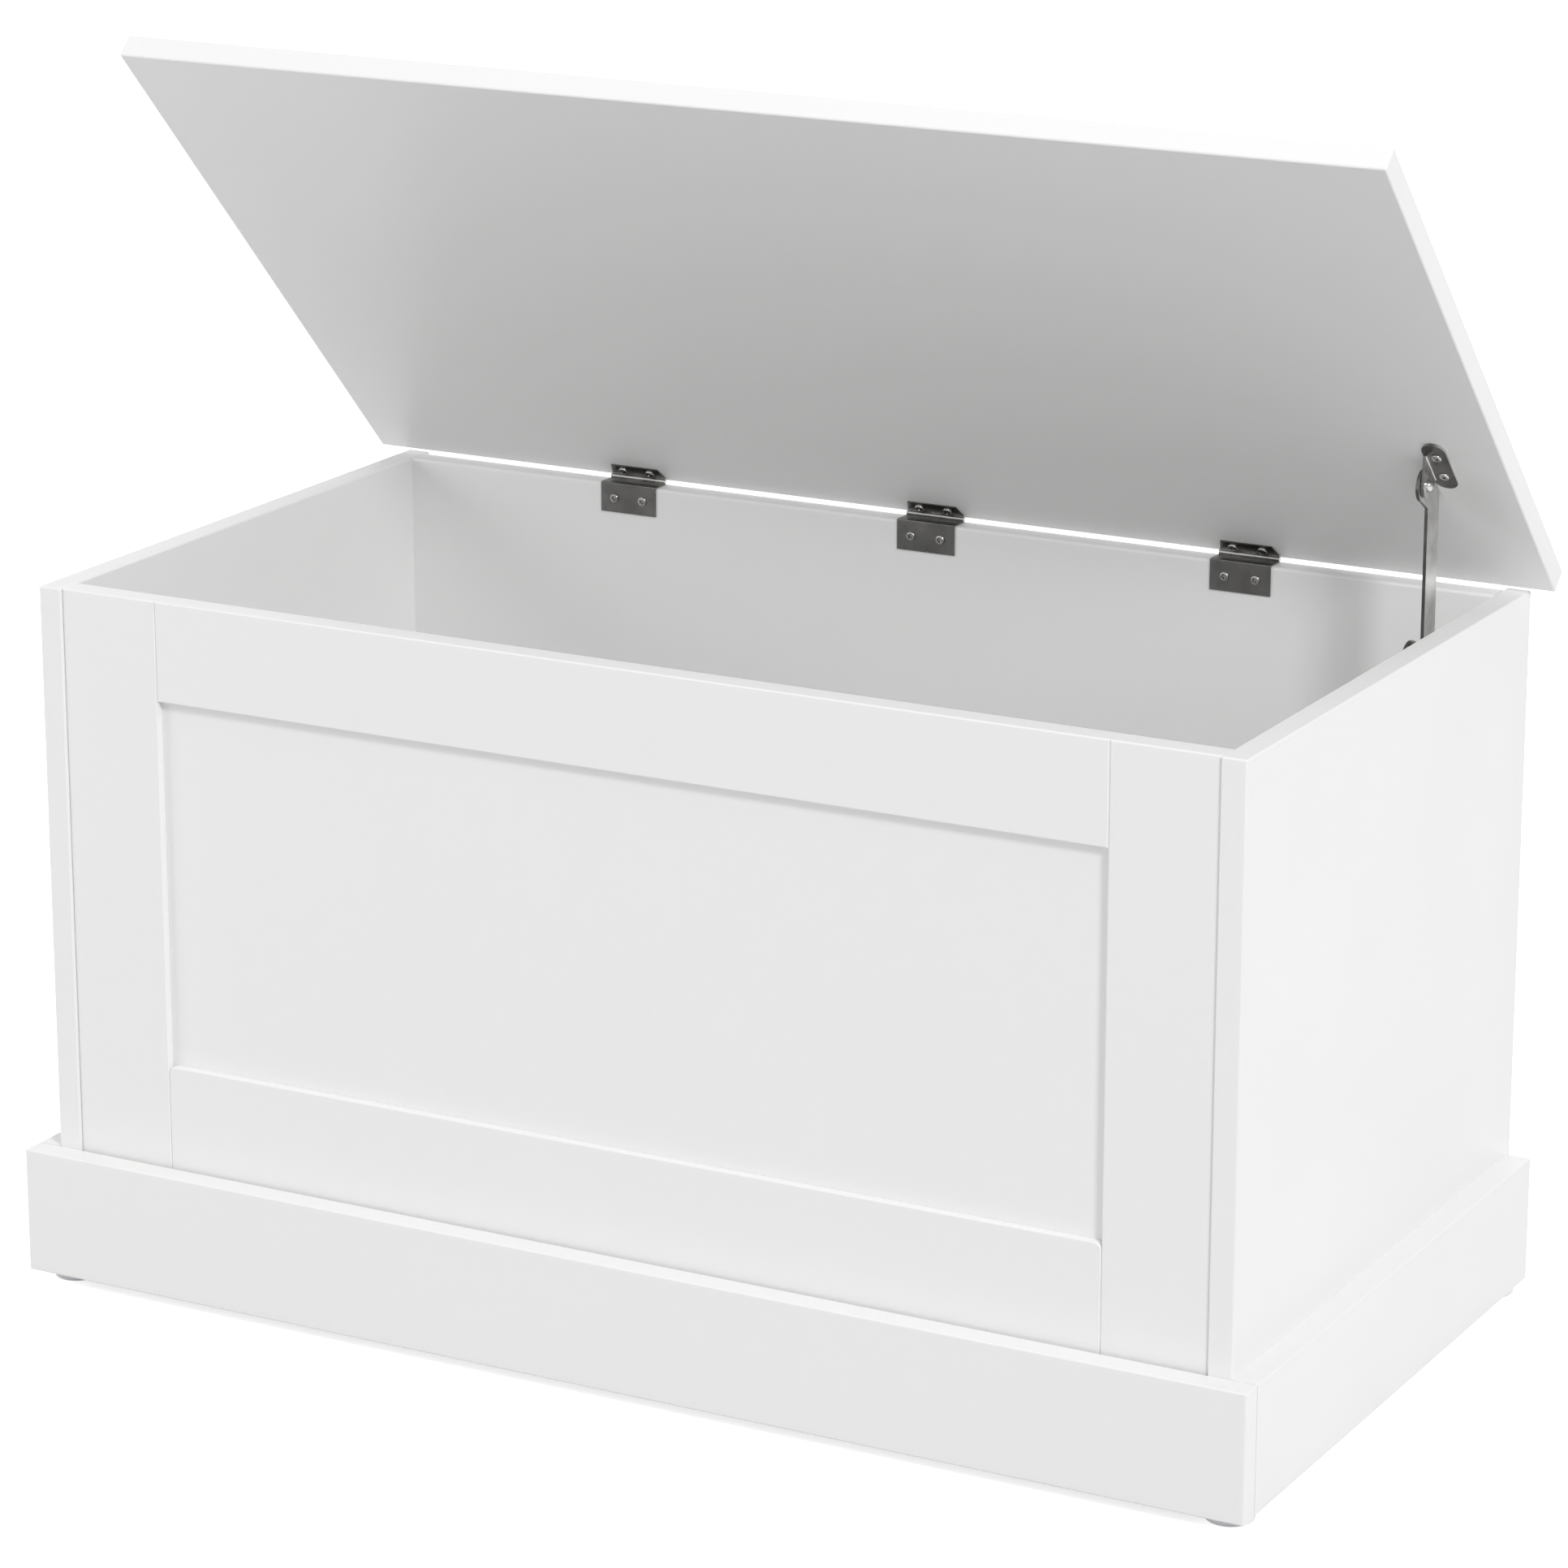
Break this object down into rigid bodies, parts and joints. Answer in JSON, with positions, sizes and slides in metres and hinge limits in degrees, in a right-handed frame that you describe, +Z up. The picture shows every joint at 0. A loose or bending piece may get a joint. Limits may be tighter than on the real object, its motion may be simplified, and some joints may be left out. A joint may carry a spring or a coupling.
{
  "type": "toy chest",
  "caption": "White toy chest with a framed front, a plinth on round glides and a flat hinged lid that a lever stay holds open.",
  "frame": {"origin": "on the floor under the glides, at the centre of the part's outline with the lid open as pictured", "axes": "+X to the right along the front, +Y to the back, +Z up; the front faces -Y"},
  "size_m": [0.8, 0.4236, 0.7305],
  "materials": {
    "white_board": "satin white lacquer on fibreboard",
    "nickel_steel": "nickel plated",
    "zinc": "bright zinc",
    "glide_plastic": "smooth",
    "beech": "bare wood"
  },
  "bodies": {
    "chest": {"left_side_panel": "white_board", "right_side_panel": "white_board", "back_panel": "white_board", "bottom_panel": "white_board", "front_left_stile": "white_board", "front_right_stile": "white_board", "front_top_rail": "white_board", "front_bottom_rail": "white_board", "front_centre_panel": "white_board", "plinth_front_board": "white_board", "plinth_left_board": "white_board", "plinth_right_board": "white_board", "front_left_foot": "glide_plastic", "front_right_foot": "glide_plastic", "rear_left_foot": "glide_plastic", "rear_right_foot": "glide_plastic", "foot_nails": "zinc", "left_hinge_body_leaf": "nickel_steel", "centre_hinge_body_leaf": "nickel_steel", "right_hinge_body_leaf": "nickel_steel", "left_hinge_pin": "nickel_steel", "centre_hinge_pin": "nickel_steel", "right_hinge_pin": "nickel_steel", "hinge_body_screws": "nickel_steel", "cam_locks": "zinc", "cam_bolts": "zinc", "panel_dowels": "beech", "frame_dowels": "beech", "plinth_screws": "zinc", "stay_base_plate": "nickel_steel", "stay_hub_bush": "nickel_steel", "stay_pivot_rivet": "nickel_steel", "stay_base_screws": "nickel_steel"},
    "lid": {"lid_panel": "white_board", "left_hinge_lid_leaf": "nickel_steel", "centre_hinge_lid_leaf": "nickel_steel", "right_hinge_lid_leaf": "nickel_steel", "hinge_lid_screws": "nickel_steel", "stay_lid_bracket": "nickel_steel", "stay_bracket_screws": "nickel_steel", "stay_lid_rivet": "nickel_steel"},
    "stay_lever": {"stay_lever": "nickel_steel", "stay_knee_rivet": "nickel_steel"},
    "stay_link": {"stay_link": "nickel_steel"}
  },
  "joints": [
    {"name": "lid_hinge", "type": "hinge", "parent": "chest", "child": "lid", "pos_m": [0, 0.19917, 0.431], "axis": [-1, 0, 0], "range_deg": [-46.8, 0]},
    {"name": "stay_pivot", "type": "hinge", "parent": "chest", "child": "stay_lever", "pos_m": [0.3534, 0.17667, 0.332], "axis": [-1, 0, 0], "range_deg": [-50.91, 0]},
    {"name": "link_pivot", "type": "hinge", "parent": "lid", "child": "stay_link", "pos_m": [0.3511, 0.11427, 0.5072], "axis": [-1, 0, 0], "range_deg": [0, 48.18]}
  ],
  "couplings": [
    {"joint": "stay_pivot", "follows": "lid_hinge", "ratio": 1.0867},
    {"joint": "link_pivot", "follows": "lid_hinge", "ratio": -1.0285}
  ]
}
